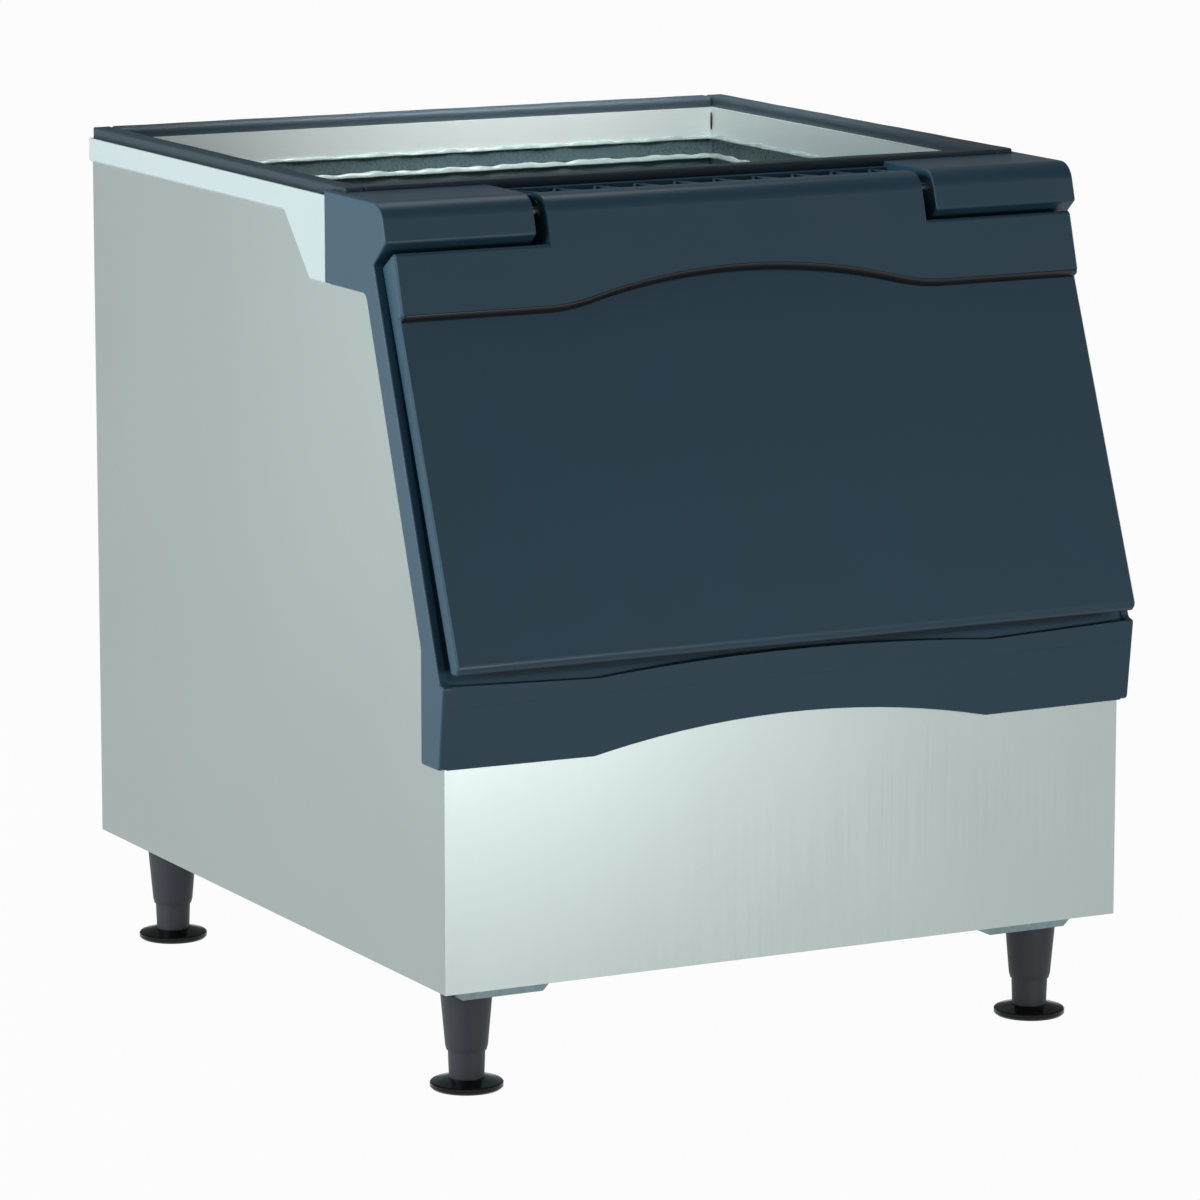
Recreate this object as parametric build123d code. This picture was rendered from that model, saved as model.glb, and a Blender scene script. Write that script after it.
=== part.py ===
from build123d import *
import math
import os

# Ice storage bin: an insulated steel cabinet on four legs, open at the top for an ice machine,
# with a sloped lift-up door in a moulded front frame.
# Sizes are in millimetres. While it is built, y is measured from the front panel's face and z from the floor.
# place() then moves every piece so that the origin is under the middle of the whole bin.

# Cabinet
BODY_W = 762.0
BODY_D = 848.0
BODY_H = 754.0
LEG_H = 114.0
SHEET = 1.0
FOLD = 14.0
WALL = 26.0
FLOOR_T = 42.0
SEAT = 0.3
HALF = BODY_W / 2
BODY_TOP = LEG_H + BODY_H

# Sloped front: the frame's front face as a height and a y there, and its lean
FACE_Y = -2.4
FACE_Z = 432.0
FACE_TAN = 0.358
FRAME_T = 14.0
ROOF_DROP = 64.0
HEAD_D = 52.312
ROOF_Z = BODY_TOP - ROOF_DROP
TOP_FRONT = FACE_Y + (BODY_TOP - FACE_Z) * FACE_TAN + HEAD_D

# Front frame
CHEEK_PROUD = 9.0
CHEEK_W = 29.0
CHEEK_KNEE_Z = 452.0
CHEEK_STEP_DROP = 85.0
CHEEK_STEP_R = 10.0
CHEEK_SET = 40.0
FRAME_EDGE_R = 2.0
NOTCH_DROP = 55.0
BLOCK_RISE = 7.0
BLOCK_FRONT_DROP = 31.0
BLOCK_LEAN = 0.29
BLOCK_ROUND = 22.0
BLOCK_W = 155.0
BLOCK_LIP = 10.0
OPENING_SIDE = 51.0
OPENING_DROP = 84.0
CHEEK_STEP_Z = BODY_TOP - CHEEK_STEP_DROP
CHEEK_BACK = TOP_FRONT + CHEEK_SET
NOTCH_Z = BODY_TOP - NOTCH_DROP
BLOCK_TOP = BODY_TOP + BLOCK_RISE
BLOCK_FRONT_Z = BODY_TOP - BLOCK_FRONT_DROP
BLOCK_INNER = HALF - BLOCK_W
OPENING_W = BODY_W - 2 * OPENING_SIDE
OPENING_HIGH = BODY_TOP - OPENING_DROP

# Radii of the moulded corners
R_FINE = 1.5
R_SMALL = 2.0
R_CORNER = 3.0
R_BLOCK = 4.0
R_SOFT = 5.0
R_KNEE = 12.0

# Sill of the frame: straight ends, then one long arch between two kinks
SILL_FRONT_LOW = -6.5
SILL_FRONT_TOP = -16.5
SILL_KINK_IN = 159.5
SILL_KINK = HALF - SILL_KINK_IN
SILL_LOW_END = 338.5
SILL_LOW_KINK = 337.4
SILL_LOW_CREST = 362.0
SILL_TOP_END = 422.0
SILL_TOP_KINK = 416.5
SILL_TOP_CREST = 426.5
SILL_CUT = 120.0
OPENING_ABOVE_SILL = 23.5
OPENING_LOW = SILL_TOP_CREST + OPENING_ABOVE_SILL

# Ribbed top rail between the hinge blocks
RAIL_D = 48.0
RAIL_RISE = 2.0
RAIL_WALL = 3.0
RAIL_POCKET = 25.0
RIB_PITCH = 45.0
RIB_T = 3.0
RAIL_FRONT = TOP_FRONT - RAIL_D
RAIL_TOP = BODY_TOP + RAIL_RISE

# Door
DOOR_OVER = 1.0
DOOR_ABOVE_SILL = 7.5
DOOR_T = 19.0
DOOR_FACE_Y = -32.0
DOOR_FACE_Z = 443.0
DOOR_CLOSING = 11.253
DOOR_EDGE_R = 3.0
DOOR_LIP_R = 8.0
DOOR_SKIN = 4.0
DOOR_CORNER_DROP = 39.0
DOOR_BACK_DROP = 57.0
RAISED_PROUD = 8.684
RAISED_DROP = 101.0
RAISED_TAN = 0.29
RAISED_LOW_DROP = 104.0
WAVE_RISE = 28.0
WAVE_CREST_R = 700.0
WAVE_FOOT_R = 217.0
WAVE_SLANT = 5.0
NOSE_SIDE = 14.0
NOSE_RISE = 5.0
NOSE_CLEAR = 10.0
HEAD_CUT = 300.0
SEAL_W = 14.0
SEAL_T = 2.0
SEAL_INSET = 6.0
LINER_T = 2.5
DOOR_W = BODY_W + 2 * DOOR_OVER
DOOR_LOW = SILL_TOP_CREST + DOOR_ABOVE_SILL
DOOR_TAN = FACE_TAN + DOOR_CLOSING / (OPENING_HIGH - DOOR_FACE_Z)
DOOR_CORNER_Z = BODY_TOP - DOOR_CORNER_DROP
DOOR_BACK_Z = BODY_TOP - DOOR_BACK_DROP
RAISED_Z = BODY_TOP - RAISED_DROP
RAISED_Y = DOOR_FACE_Y + (RAISED_Z - DOOR_FACE_Z) * DOOR_TAN - RAISED_PROUD
RAISED_LOW = BODY_TOP - RAISED_LOW_DROP
NOSE_HALF = BLOCK_INNER - NOSE_SIDE
NOSE_TOP = BODY_TOP + NOSE_RISE
NOSE_BACK = RAIL_FRONT - NOSE_CLEAR

# Hinge
HINGE_SET = 71.0
HINGE_DROP = 12.0
HINGE_Y = TOP_FRONT - HINGE_SET
HINGE_Z = BODY_TOP - HINGE_DROP
PIN_R = 5.0
PIN_IN_BLOCK = 26.0
PIN_IN_DOOR = 24.0
BUSH_R = 8.0
BUSH_T = 3.0
RUN_FIT = 0.05

# Top of the cabinet
GASKET_H = 12.0
GASKET_W = 21.0
GASKET_SET = 10.0
GASKET_ROUND = 5.0
GASKET_FRONT = TOP_FRONT + GASKET_SET
BAND_H = 25.0
BAND_T = 2.5
BAND_CHAMFER = 2.0
BAND_SLANT_START = 149.0
BAND_SLANT_END = 89.0
BAND_DROP = 88.0
COLLAR_H = 56.0
COLLAR_T = 1.2
LINER_WALL = 3.0
CEIL_T = 14.0
CEIL_SLOPE = 6.0
BAFFLE_ROOM = 4.0
BEAD = 5.0

# Ice baffle behind the door's head
BAFFLE_T = 2.0
BAFFLE_DROP = 178.0
BAFFLE_TURN = 22.0
BAFFLE_BEND = 6.0
BAFFLE_SCREW_IN = 80.0
SCREW_R = 3.0

# Drain at the back
DRAIN_Z = 184.0
DRAIN_R = 17.0
DRAIN_BORE_R = 12.3
DRAIN_FLANGE_R = 24.0
DRAIN_FLANGE_T = 3.0
NUT_T = 7.0

# Legs and levelling feet
LEG_IN = 57.0
LEG_FRONT = 70.0
LEG_REAR_IN = 58.0
LEG_X = HALF - LEG_IN
LEG_REAR = BODY_D - LEG_REAR_IN
BRACKET_H = 17.0
BRACKET_OUT = 29.0
BRACKET_IN = 77.0
BRACKET_D = 84.0
BRACKET_SLANT = 9.0
BRACKET_T = 2.0
BRACKET_FLANGE = 8.0
LEG_TOP_R = 26.0
LEG_LOW_R = 21.3
LEG_LOW_Z = 44.0
LEG_END_R = 20.0
LEG_END_Z = 39.0
STEM_R = 18.6
STEM_FOOT_R = 17.6
STEM_TOP_Z = 80.0
DISC_R = 36.5
DISC_RIM = 7.0
DISC_TOP = 11.0
DISC_POCKET = 4.0
STUD_R = 5.0
STUD_DEPTH = 10.0
STUD_NUT_R = 8.0

CHEEK_X = HALF + CHEEK_PROUD
PLATE_X = HALF + SEAT
BACK_END = BODY_D + SEAT + DRAIN_FLANGE_T
LIP_AXIS_Y = DOOR_FACE_Y + (DOOR_LOW + DOOR_LIP_R - DOOR_FACE_Z) * DOOR_TAN
DOOR_FRONT = LIP_AXIS_Y + DOOR_LIP_R * (math.hypot(1, DOOR_TAN) - 1)
ORIGIN_Y = (BACK_END + DOOR_FRONT) / 2


def face_y(z):
    return FACE_Y + (z - FACE_Z) * FACE_TAN


def frame_back(z):
    return face_y(z) + FRAME_T


def door_y(z):
    return DOOR_FACE_Y + (z - DOOR_FACE_Z) * DOOR_TAN


def raised_y(z):
    return RAISED_Y + (z - RAISED_Z) * RAISED_TAN


def corner(before, at, after):
    """Tangent points and middle of the arc that rounds one corner of an outline."""
    (x0, y0), (x1, y1, r), (x2, y2) = before[:2], at, after[:2]
    a = Vector(x0 - x1, y0 - y1).normalized()
    b = Vector(x2 - x1, y2 - y1).normalized()
    half = math.radians(a.get_angle(b)) / 2
    p = Vector(x1, y1)
    bisector = (a + b).normalized()
    centre = p + bisector * (r / math.sin(half))
    return p + a * (r / math.tan(half)), centre - bisector * r, p + b * (r / math.tan(half))


def outline(points):
    """Closed face through points (u, v) or (u, v, radius), with tangent arcs at the rounded ones."""
    edges = []
    last = None
    first = None
    count = len(points)
    for i, at in enumerate(points):
        if len(at) == 3:
            start, middle, end = corner(points[i - 1], at, points[(i + 1) % count])
        else:
            start = end = Vector(*at)
            middle = None
        if last is not None:
            edges.append(Line(last, start))
        if middle is not None:
            edges.append(ThreePointArc(start, middle, end))
        first = first or start
        last = end
    edges.append(Line(last, first))
    return make_face(edges)


def prism(points, x0, x1):
    """Outline in y and z, carried along x."""
    return extrude(Plane.YZ.offset(x0) * outline(points), amount=x1 - x0)


def box(x0, x1, y0, y1, z0, z1):
    size = (x1 - x0, y1 - y0, z1 - z0)
    return Pos((x0 + x1) / 2, (y0 + y1) / 2, (z0 + z1) / 2) * Box(*size)


def rod(x, y, z, radius, length, axis="z"):
    """Round bar that starts at a point and runs along x, y or z."""
    turn = {"x": Rot(0, 90, 0), "y": Rot(-90, 0, 0), "z": Rot(0, 0, 0)}[axis]
    align = (Align.CENTER, Align.CENTER, Align.MIN)
    return Pos(x, y, z) * turn * Cylinder(radius, length, align=align)


def hexagon(x, y, z, radius, length, axis="z"):
    turn = {"y": Rot(-90, 0, 0), "z": Rot(0, 0, 0)}[axis]
    return Pos(x, y, z) * turn * extrude(RegularPolygon(radius, 6), amount=length)


def both(shape):
    """A shape of the right side and its mirror image."""
    return shape + mirror(shape, Plane.YZ)


def place(shape):
    return Pos(0, -ORIGIN_Y, 0) * shape


def cabinet_outline(inset=0.0):
    """Side view of the insulated cabinet, drawn in by an inset."""
    start_z = FACE_Z + (inset - FACE_Y - FRAME_T - SEAT) / FACE_TAN
    roof = ROOF_Z - inset
    return [
        (inset, LEG_H + inset),
        (inset, start_z),
        (frame_back(roof) + SEAT + inset, roof),
        (TOP_FRONT + inset, roof),
        (TOP_FRONT + inset, BODY_TOP - inset),
        (BODY_D - inset, BODY_TOP - inset),
        (BODY_D - inset, LEG_H + inset),
    ]


# Cavity of the liner, in side view: floor, low front wall, sloped front, ceiling under the rail
CAVITY_LOW = LEG_H + FLOOR_T
CAVITY_HALF = HALF - WALL
CAVITY_FRONT = GASKET_FRONT + GASKET_W + BAFFLE_ROOM
CAVITY_CEIL = ROOF_Z - CEIL_T
CAVITY_BACK = BODY_D - WALL
LINER_TOP = BODY_TOP - COLLAR_H


def cavity_outline(grow=0.0):
    return [
        (WALL - grow, CAVITY_LOW - grow),
        (WALL - grow, FACE_Z),
        (frame_back(CAVITY_CEIL) + WALL - grow, CAVITY_CEIL + grow),
        (CAVITY_FRONT - grow, CAVITY_CEIL + grow + CEIL_SLOPE),
        (CAVITY_FRONT - grow, LINER_TOP),
        (CAVITY_BACK + grow, LINER_TOP),
        (CAVITY_BACK + grow, CAVITY_LOW - grow),
    ]


def throat(grow):
    """The way from the door opening into the cavity."""
    low, high = OPENING_LOW - grow, OPENING_HIGH + grow
    points = [
        (frame_back(low) + SEAT, low),
        (frame_back(high) + SEAT, high),
        (frame_back(high) + WALL * 2, high),
        (frame_back(low) + WALL * 2, low),
    ]
    return prism(points, -OPENING_W / 2 - grow, OPENING_W / 2 + grow)


def drain_hole(extra=SEAT):
    return rod(0, CAVITY_BACK - 4 * NUT_T, DRAIN_Z, DRAIN_R + extra, WALL + 6 * NUT_T, "y")


def liner():
    outer = prism(cavity_outline(LINER_WALL), -CAVITY_HALF - LINER_WALL, CAVITY_HALF + LINER_WALL)
    inner = prism(cavity_outline(), -CAVITY_HALF, CAVITY_HALF)
    inner += box(-CAVITY_HALF, CAVITY_HALF, CAVITY_FRONT, CAVITY_BACK, LINER_TOP - 1, LINER_TOP + 1)
    return outer + throat(LINER_WALL) - inner - throat(0) - drain_hole()


def insulation():
    grow = LINER_WALL + SEAT
    core = prism(cabinet_outline(SHEET + SEAT), SHEET + SEAT - HALF, HALF - SHEET - SEAT)
    core -= prism(cavity_outline(grow), -CAVITY_HALF - grow, CAVITY_HALF + grow)
    core -= throat(grow)
    mouth = box(-CAVITY_HALF - grow, CAVITY_HALF + grow, CAVITY_FRONT - grow, CAVITY_BACK + grow,
                LINER_TOP - 1, BODY_TOP)
    roof = box(-HALF, HALF, TOP_FRONT, BODY_D, BODY_TOP - COLLAR_T - SEAT - SHEET, BODY_TOP)
    return core - mouth - roof - drain_hole()


def side_panel(side):
    sheet = prism(cabinet_outline(), HALF - SHEET, HALF)
    return sheet if side > 0 else mirror(sheet, Plane.YZ)


def front_panel():
    top = FACE_Z + (-FACE_Y - FRAME_T - SEAT) / FACE_TAN
    sheet = box(-HALF + SHEET, HALF - SHEET, 0, SHEET, LEG_H, top - SEAT)
    fold = box(-HALF + SHEET, HALF - SHEET, SHEET, SHEET + FOLD, LEG_H, LEG_H + SHEET)
    return sheet + fold


def back_panel():
    sheet = box(-HALF + SHEET, HALF - SHEET, BODY_D - SHEET, BODY_D, LEG_H, BODY_TOP - COLLAR_T)
    fold = box(-HALF + SHEET, HALF - SHEET, BODY_D - SHEET - FOLD, BODY_D - SHEET, LEG_H, LEG_H + SHEET)
    return sheet + fold - drain_hole()


def base_pan():
    edge = SHEET + FOLD + SEAT
    return box(-HALF + SHEET, HALF - SHEET, edge, BODY_D - edge, LEG_H, LEG_H + SHEET)


def top_collar():
    """Steel neck of the top opening, with the flange that the gasket lies on."""
    half = CAVITY_HALF + LINER_WALL
    front, back = CAVITY_FRONT - LINER_WALL, CAVITY_BACK + LINER_WALL
    neck = box(-half, half, front, back, LINER_TOP, BODY_TOP)
    flange = box(-HALF + SHEET, HALF - SHEET, TOP_FRONT + SHEET, BODY_D, BODY_TOP - COLLAR_T, BODY_TOP)
    hole = box(-half + COLLAR_T, half - COLLAR_T, front + COLLAR_T, back - COLLAR_T,
               LINER_TOP - 1, BODY_TOP + 1)
    return neck + flange - hole


def sealant_bead():
    """Bead of sealant laid round the joint of the neck and the liner."""
    half = CAVITY_HALF + LINER_WALL - COLLAR_T
    front, back = CAVITY_FRONT - LINER_WALL + COLLAR_T, CAVITY_BACK + LINER_WALL - COLLAR_T
    middle = (front + back) / 2
    ring = Pos(0, middle, LINER_TOP) * extrude(Rectangle(2 * half, back - front), amount=BEAD)
    inner = Pos(0, middle, LINER_TOP) * extrude(Rectangle(2 * (half - BEAD), back - front - 2 * BEAD),
                                                amount=BEAD)
    ring -= inner
    edges = ring.edges().filter_by(Axis.Z, reverse=True).group_by(Axis.Z)[-1]
    inner_top = [e for e in edges if abs(e.center().X) < half - 1 and front + 1 < e.center().Y < back - 1]
    return chamfer(inner_top, BEAD * 0.6)


def band_side(side):
    low = BODY_TOP - BAND_H
    points = [
        (CHEEK_BACK + SEAT, BODY_TOP),
        (BODY_D + SEAT + BAND_T, BODY_TOP),
        (BODY_D + SEAT + BAND_T, low),
        (TOP_FRONT + BAND_SLANT_START, low, R_BLOCK),
        (TOP_FRONT + BAND_SLANT_END, BODY_TOP - BAND_DROP, R_SOFT),
        (CHEEK_BACK + SEAT, BODY_TOP - BAND_DROP),
    ]
    strip = prism(points, PLATE_X, PLATE_X + BAND_T)
    low_edges = [e for e in strip.edges() if e.center().X > PLATE_X + BAND_T - 0.01
                 and abs(e.center().Z - low) < 0.01]
    strip = chamfer(low_edges, BAND_CHAMFER)
    return strip if side > 0 else mirror(strip, Plane.YZ)


def band_back():
    strip = box(-PLATE_X, PLATE_X, BODY_D + SEAT, BODY_D + SEAT + BAND_T, BODY_TOP - BAND_H, BODY_TOP)
    low = strip.edges().filter_by(Axis.X).group_by(Axis.Y)[-1].sort_by(Axis.Z)[0]
    return chamfer(low, BAND_CHAMFER)


def gasket_profile(inner_sign):
    """Strip of foam rubber, round on the side towards the opening."""
    top = GASKET_H
    return outline([
        (0, 0),
        (inner_sign * GASKET_W, 0),
        (inner_sign * GASKET_W, top, GASKET_ROUND),
        (0, top, R_SMALL),
    ])


def gasket(name):
    half = HALF - SEAT
    along = BODY_D - GASKET_FRONT
    if name in ("left", "right"):
        sign = -1 if name == "right" else 1
        plane = Plane(origin=(-sign * half, GASKET_FRONT, BODY_TOP), x_dir=(1, 0, 0), z_dir=(0, -1, 0))
        return extrude(plane * gasket_profile(sign), amount=-along)
    reach = half - GASKET_W - SEAT
    if name == "front":
        plane = Plane(origin=(-reach, GASKET_FRONT, BODY_TOP), x_dir=(0, 1, 0), z_dir=(1, 0, 0))
        return extrude(plane * gasket_profile(1), amount=2 * reach)
    plane = Plane(origin=(-reach, BODY_D, BODY_TOP), x_dir=(0, 1, 0), z_dir=(1, 0, 0))
    return extrude(plane * gasket_profile(-1), amount=2 * reach)


# Front frame

def block_front(z):
    return raised_y(BLOCK_FRONT_Z) + (z - BLOCK_FRONT_Z) * BLOCK_LEAN


def cheek_plate():
    """Outer skin of the frame's cheek, its block and the sill's end, over the cabinet's side."""
    rear_knee = face_y(CHEEK_KNEE_Z) + CHEEK_W
    points = [
        (CHEEK_BACK, BLOCK_TOP, R_FINE),
        (CHEEK_BACK, CHEEK_STEP_Z, R_FINE),
        (face_y(CHEEK_STEP_Z) + CHEEK_W, CHEEK_STEP_Z, CHEEK_STEP_R),
        (rear_knee, CHEEK_KNEE_Z, R_KNEE),
        (rear_knee, SILL_LOW_END, R_CORNER),
        (SILL_FRONT_LOW, SILL_LOW_END, R_SOFT),
        (SILL_FRONT_TOP, SILL_TOP_END, R_CORNER),
        (face_y(SILL_TOP_END) - R_FINE, SILL_TOP_END + R_SMALL, R_SOFT),
        (face_y(NOTCH_Z), NOTCH_Z, R_CORNER),
        (block_front(BLOCK_FRONT_Z), BLOCK_FRONT_Z, R_BLOCK),
        (block_front(BLOCK_TOP), BLOCK_TOP, BLOCK_ROUND),
    ]
    plate = prism(points, PLATE_X, CHEEK_X)
    outer = plate.faces().sort_by(Axis.X)[-1].edges()
    return fillet(outer, FRAME_EDGE_R)


def frame_ring():
    low = FACE_Z + (-FACE_Y - FRAME_T) / FACE_TAN
    points = [(face_y(low), low), (face_y(ROOF_Z), ROOF_Z), (frame_back(ROOF_Z), ROOF_Z), (frame_back(low), low)]
    ring = prism(points, -PLATE_X, PLATE_X)
    t = FRAME_T
    hole = prism([(face_y(OPENING_LOW) - t, OPENING_LOW), (face_y(OPENING_HIGH) - t, OPENING_HIGH),
                  (frame_back(OPENING_HIGH) + t, OPENING_HIGH), (frame_back(OPENING_LOW) + t, OPENING_LOW)],
                 -OPENING_W / 2, OPENING_W / 2)
    return ring - hole


def wave_band():
    """Front view of the sill between its two waved edges."""
    end = PLATE_X
    low = [Vector(-end, SILL_LOW_END), Vector(-SILL_KINK, SILL_LOW_KINK), Vector(0, SILL_LOW_CREST),
           Vector(SILL_KINK, SILL_LOW_KINK), Vector(end, SILL_LOW_END)]
    top = [Vector(end, SILL_TOP_END), Vector(SILL_KINK, SILL_TOP_KINK), Vector(0, SILL_TOP_CREST),
           Vector(-SILL_KINK, SILL_TOP_KINK), Vector(-end, SILL_TOP_END)]
    edges = []
    for row in (low, top):
        edges += [Line(row[0], row[1]), ThreePointArc(row[1], row[2], row[3]), Line(row[3], row[4])]
    edges += [Line(low[4], top[0]), Line(top[4], low[0])]
    return make_face(edges)


def sill():
    lean = (SILL_FRONT_TOP - SILL_FRONT_LOW) / (SILL_TOP_END - SILL_LOW_END)
    low, high = SILL_LOW_KINK - R_KNEE, SILL_TOP_CREST + R_KNEE
    back_low = FACE_Z + (-FACE_Y - FRAME_T) / FACE_TAN
    points = [
        (SILL_FRONT_LOW + lean * (low - SILL_LOW_END), low),
        (SILL_FRONT_LOW + lean * (high - SILL_LOW_END), high),
        (frame_back(high), high),
        (-SEAT, back_low),
        (-SEAT, low),
    ]
    body = prism(points, -PLATE_X, PLATE_X)
    plane = Plane(origin=(0, SILL_FRONT_TOP - FOLD, 0), x_dir=(1, 0, 0), z_dir=(0, -1, 0))
    return body & extrude(plane * wave_band(), amount=-SILL_CUT)


def hinge_block():
    """Head of the frame's corner, which carries the hinge pin."""
    lip = TOP_FRONT + BLOCK_LIP - SEAT
    points = [
        (block_front(BLOCK_FRONT_Z), BLOCK_FRONT_Z, R_BLOCK),
        (block_front(BLOCK_TOP), BLOCK_TOP, BLOCK_ROUND),
        (lip, BLOCK_TOP, R_SMALL),
        (lip, BODY_TOP + SEAT),
        (TOP_FRONT - SEAT, BODY_TOP + SEAT),
        (TOP_FRONT - SEAT, ROOF_Z + SEAT),
        (frame_back(ROOF_Z), ROOF_Z + SEAT),
        (frame_back(ROOF_Z), ROOF_Z - 1),
        (face_y(ROOF_Z - 1), ROOF_Z - 1),
        (face_y(NOTCH_Z), NOTCH_Z, R_CORNER),
    ]
    block = prism(points, BLOCK_INNER, PLATE_X)
    end = [e for e in block.faces().sort_by(Axis.X)[0].edges()
           if e.center().Z > BLOCK_FRONT_Z + R_CORNER and e.center().Y < RAIL_FRONT - NOSE_CLEAR]
    block = fillet(end, FRAME_EDGE_R)
    return block - rod(BLOCK_INNER - 1, HINGE_Y, HINGE_Z, PIN_R, PIN_IN_BLOCK + 1, "x")


def rail_ribs(front, back, low):
    """Zigzag web across the open top of the rail."""
    count = int(2 * BLOCK_INNER / RIB_PITCH)
    start = -count * RIB_PITCH / 2
    half_run = RIB_PITCH / 2
    web = None
    for i in range(2 * count):
        x0 = start + i * half_run
        y0, y1 = (front, back) if i % 2 == 0 else (back, front)
        length = math.hypot(half_run, y1 - y0) + RIB_T
        turn = math.degrees(math.atan2(y1 - y0, half_run))
        bar = Pos(x0 + half_run / 2, (y0 + y1) / 2, (low + RAIL_TOP - 1) / 2) * Rot(0, 0, turn) \
            * Box(length, RIB_T, RAIL_TOP - 1 - low)
        web = bar if web is None else web + bar
    return web


def top_rail():
    lip = TOP_FRONT + BLOCK_LIP - SEAT
    points = [
        (RAIL_FRONT, ROOF_Z + SEAT),
        (RAIL_FRONT, RAIL_TOP, R_FINE),
        (lip, RAIL_TOP, R_FINE),
        (lip, BODY_TOP + SEAT),
        (TOP_FRONT - SEAT, BODY_TOP + SEAT),
        (TOP_FRONT - SEAT, ROOF_Z + SEAT),
    ]
    rail = prism(points, -BLOCK_INNER, BLOCK_INNER)
    front, back, low = RAIL_FRONT + RAIL_WALL, TOP_FRONT - SEAT - RAIL_WALL, RAIL_TOP - RAIL_POCKET
    pocket = box(-BLOCK_INNER + RAIL_WALL, BLOCK_INNER - RAIL_WALL, front, back, low, RAIL_TOP + 1)
    web = rail_ribs(front, back, low) & box(-BLOCK_INNER, BLOCK_INNER, front - 1, back + 1, low - 1, RAIL_TOP)
    floor_top = ROOF_Z + 2 * RAIL_WALL
    floor = prism([(face_y(ROOF_Z - 1), ROOF_Z - 1), (face_y(floor_top), floor_top),
                   (RAIL_FRONT + 1, floor_top), (RAIL_FRONT + 1, ROOF_Z + SEAT),
                   (frame_back(ROOF_Z), ROOF_Z + SEAT), (frame_back(ROOF_Z), ROOF_Z - 1)],
                  -BLOCK_INNER, BLOCK_INNER)
    return rail - pocket + web + floor


def front_frame():
    frame = frame_ring() + sill() + top_rail()
    frame += both(hinge_block())
    return frame + both(cheek_plate())


# Door

def wave_face():
    """Front view of the raised head of the door, whose lower edge arches up in the middle."""
    half = DOOR_W / 2
    reach = WAVE_CREST_R + WAVE_FOOT_R
    angle = math.acos(1 - WAVE_RISE / reach)
    run = reach * math.sin(angle)
    turn = WAVE_CREST_R * math.sin(angle)
    turn_z = RAISED_LOW + WAVE_RISE - WAVE_CREST_R * (1 - math.cos(angle))
    mid = (run + turn) / 2
    lift = WAVE_FOOT_R - math.sqrt(WAVE_FOOT_R ** 2 - (run - mid) ** 2)
    crest = RAISED_LOW + WAVE_RISE
    top = NOSE_TOP + BLOCK_ROUND
    edges = [
        Line((-half, RAISED_LOW), (-run, RAISED_LOW)),
        ThreePointArc((-run, RAISED_LOW), (-mid, RAISED_LOW + lift), (-turn, turn_z)),
        ThreePointArc((-turn, turn_z), (0, crest), (turn, turn_z)),
        ThreePointArc((turn, turn_z), (mid, RAISED_LOW + lift), (run, RAISED_LOW)),
        Line((run, RAISED_LOW), (half, RAISED_LOW)),
        Line((half, RAISED_LOW), (half, top)),
        Line((half, top), (-half, top)),
        Line((-half, top), (-half, RAISED_LOW)),
    ]
    return make_face(edges)


def door_head():
    """Raised head of the door: a wedge that stands proud of the lower panel above the wave."""
    low = RAISED_LOW - R_SMALL
    half = DOOR_W / 2
    wide = prism([(raised_y(low), low), (raised_y(DOOR_CORNER_Z), DOOR_CORNER_Z, R_BLOCK),
                  (door_y(DOOR_BACK_Z) + DOOR_T, DOOR_BACK_Z, R_SMALL), (door_y(low) + DOOR_T, low)],
                 -half, half)
    nose = prism([(raised_y(low), low), (raised_y(NOSE_TOP), NOSE_TOP, BLOCK_ROUND),
                  (NOSE_BACK, NOSE_TOP, R_CORNER), (NOSE_BACK, HINGE_Z - 2 * R_SOFT, R_CORNER),
                  (door_y(DOOR_BACK_Z) + DOOR_T, DOOR_BACK_Z, R_SMALL),
                  (door_y(low) + DOOR_T, low)], -NOSE_HALF, NOSE_HALF)
    start = raised_y(RAISED_LOW) - HEAD_CUT / 5
    plane = Plane(origin=(0, start, 0), x_dir=(1, 0, 0), z_dir=(0, -1, 0))
    head = (wide + nose) & extrude(plane * wave_face(), amount=-HEAD_CUT)
    step = [e for e in head.edges()
            if e.center().Z < RAISED_LOW + WAVE_RISE + R_SMALL
            and e.center().Y < raised_y(e.center().Z) + R_FINE
            and abs(e.center().X) < half - 1]
    return chamfer(step, WAVE_SLANT)


def door_lower():
    half = DOOR_W / 2
    top = DOOR_BACK_Z - R_SMALL
    points = [
        (door_y(DOOR_LOW), DOOR_LOW, DOOR_LIP_R),
        (door_y(top), top),
        (door_y(top) + DOOR_T, top),
        (door_y(DOOR_LOW) + DOOR_T, DOOR_LOW, R_SMALL),
    ]
    return prism(points, -half, half)


def door_core(grow):
    """Room for the foam inside the door, open at its back."""
    low, high = DOOR_LOW + DOOR_SKIN * 2, DOOR_BACK_Z - DOOR_SKIN * 2
    points = [
        (door_y(low) + DOOR_SKIN - grow, low - grow),
        (door_y(high) + DOOR_SKIN - grow, high + grow),
        (door_y(high) + DOOR_T - LINER_T, high + grow),
        (door_y(low) + DOOR_T - LINER_T, low - grow),
    ]
    half = DOOR_W / 2 - DOOR_SKIN
    return prism(points, -half - grow, half + grow)


def door_liner(grow=0.0):
    low, high = DOOR_LOW + DOOR_SKIN * 2, DOOR_BACK_Z - DOOR_SKIN * 2
    half = DOOR_W / 2 - DOOR_SKIN
    points = [
        (door_y(low) + DOOR_T - LINER_T, low - grow),
        (door_y(high) + DOOR_T - LINER_T, high + grow),
        (door_y(high) + DOOR_T + grow, high + grow),
        (door_y(low) + DOOR_T + grow, low - grow),
    ]
    return prism(points, -half - grow, half + grow)


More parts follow.
